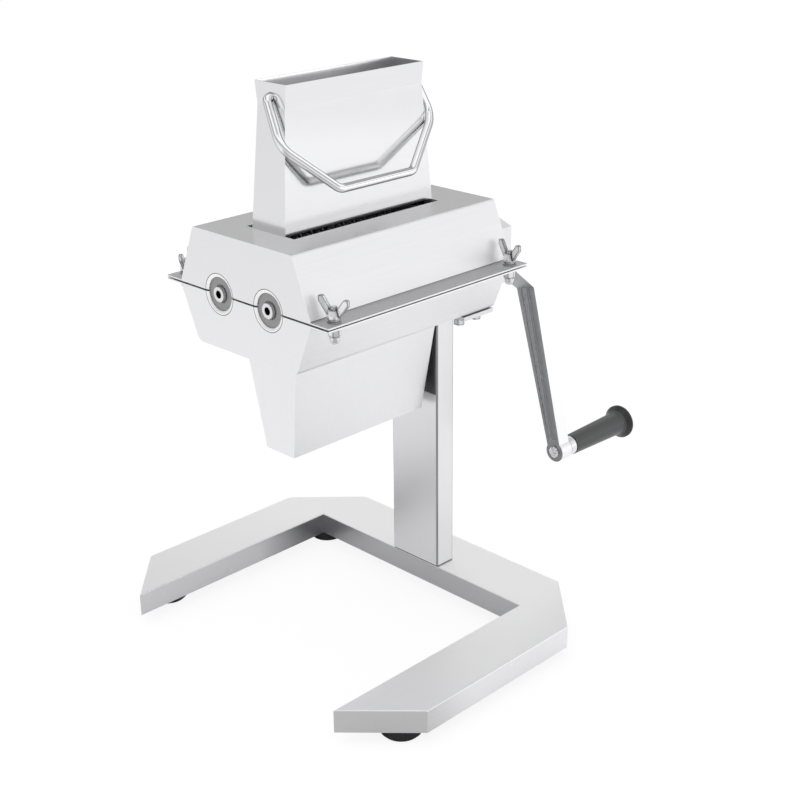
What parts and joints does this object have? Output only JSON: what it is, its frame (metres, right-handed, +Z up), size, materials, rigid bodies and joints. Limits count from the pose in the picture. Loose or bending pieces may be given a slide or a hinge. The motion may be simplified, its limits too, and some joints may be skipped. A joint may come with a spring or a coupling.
{
  "type": "meat tenderizer",
  "caption": "Hand crank meat tenderizer: twin geared blade rollers in a steel head on a post and U-shaped base, with hopper, bail and chute.",
  "frame": {"origin": "on the floor, under the middle of the whole machine's bounding box", "axes": "+X along the rollers towards the crank, +Y across the machine, +Z up"},
  "size_m": [0.4932, 0.422, 0.5733],
  "materials": {
    "stainless": "satin bright stainless sheet",
    "steel": "bright stainless fasteners and turned parts",
    "blade_steel": "ground stainless blades",
    "wire": "polished stainless rod",
    "cast_metal": "smooth cast, silver grey coat",
    "foot_rubber": "moulded matt black",
    "bush_plastic": "grey moulded bearing plastic",
    "spacer_plastic": "white food-safe plastic",
    "comb_plastic": "white food-safe plastic",
    "grip_plastic": "dark grey moulded plastic"
  },
  "bodies": {
    "stand": {"base_frame": "stainless", "front_foot_brackets": "stainless", "front_feet": "foot_rubber", "front_foot_screws": "steel", "front_foot_nuts": "steel", "rear_foot_brackets": "stainless", "rear_feet": "foot_rubber", "rear_foot_screws": "steel", "rear_foot_nuts": "steel", "column": "stainless", "head_plate": "stainless", "head_plate_bolts": "steel", "head_plate_nuts": "steel", "lower_housing": "stainless", "upper_cover": "stainless", "discharge_chute": "stainless", "chute_screws": "steel", "comb_screws": "steel", "flange_studs": "steel", "cap_nuts": "steel", "flat_washers": "steel", "spring_washers": "steel", "front_bushes": "bush_plastic", "rear_bushes": "bush_plastic", "right_comb": "comb_plastic", "left_comb": "comb_plastic", "gear_case": "stainless", "gear_case_pillars": "steel", "gear_case_screws": "steel"},
    "drive_roller": {"drive_shaft": "steel", "drive_blades": "blade_steel", "drive_spacers": "spacer_plastic", "drive_gear": "steel", "drive_gear_key": "steel", "crank_arm": "cast_metal", "crank_washer": "steel", "crank_nut": "steel", "grip_pin": "steel", "grip_collar": "steel", "grip_nut": "steel"},
    "driven_roller": {"driven_shaft": "steel", "driven_blades": "blade_steel", "driven_spacers": "spacer_plastic", "driven_gear": "steel", "driven_gear_key": "steel"},
    "grip": {"crank_grip": "grip_plastic"},
    "hopper": {"hopper": "stainless"},
    "bail": {"bail_handle": "wire"},
    "wing_front_right": {"wing_nut_front_right": "steel"},
    "wing_front_left": {"wing_nut_front_left": "steel"},
    "wing_rear_right": {"wing_nut_rear_right": "steel"},
    "wing_rear_left": {"wing_nut_rear_left": "steel"}
  },
  "joints": [
    {"name": "crank_turn", "type": "hinge", "parent": "stand", "child": "drive_roller", "pos_m": [0, -0.0345, 0.382], "axis": [1, 0, 0], "continuous": true},
    {"name": "driven_turn", "type": "hinge", "parent": "stand", "child": "driven_roller", "pos_m": [0, 0.0345, 0.382], "axis": [1, 0, 0], "continuous": true},
    {"name": "grip_spin", "type": "hinge", "parent": "drive_roller", "child": "grip", "pos_m": [0.2, -0.09504, 0.15286], "axis": [1, 0, 0], "continuous": true},
    {"name": "hopper_lift", "type": "slide", "parent": "stand", "child": "hopper", "axis": [0, 0, 1], "range_m": [0, 0.15]},
    {"name": "bail_swing", "type": "hinge", "parent": "hopper", "child": "bail", "pos_m": [-0.07865, 0, 0.5608], "axis": [1, 0, 0], "range_deg": [-302.8, 0]},
    {"name": "wing_front_right_turn", "type": "hinge", "parent": "stand", "child": "wing_front_right", "pos_m": [-0.19065, -0.104, 0.3873], "axis": [0, 0, 1], "continuous": true},
    {"name": "wing_front_left_turn", "type": "hinge", "parent": "stand", "child": "wing_front_left", "pos_m": [-0.19065, 0.104, 0.3873], "axis": [0, 0, 1], "continuous": true},
    {"name": "wing_rear_right_turn", "type": "hinge", "parent": "stand", "child": "wing_rear_right", "pos_m": [0.03935, -0.104, 0.3873], "axis": [0, 0, 1], "continuous": true},
    {"name": "wing_rear_left_turn", "type": "hinge", "parent": "stand", "child": "wing_rear_left", "pos_m": [0.03935, 0.104, 0.3873], "axis": [0, 0, 1], "continuous": true}
  ],
  "couplings": [
    {"joint": "driven_turn", "follows": "crank_turn", "ratio": -1}
  ]
}
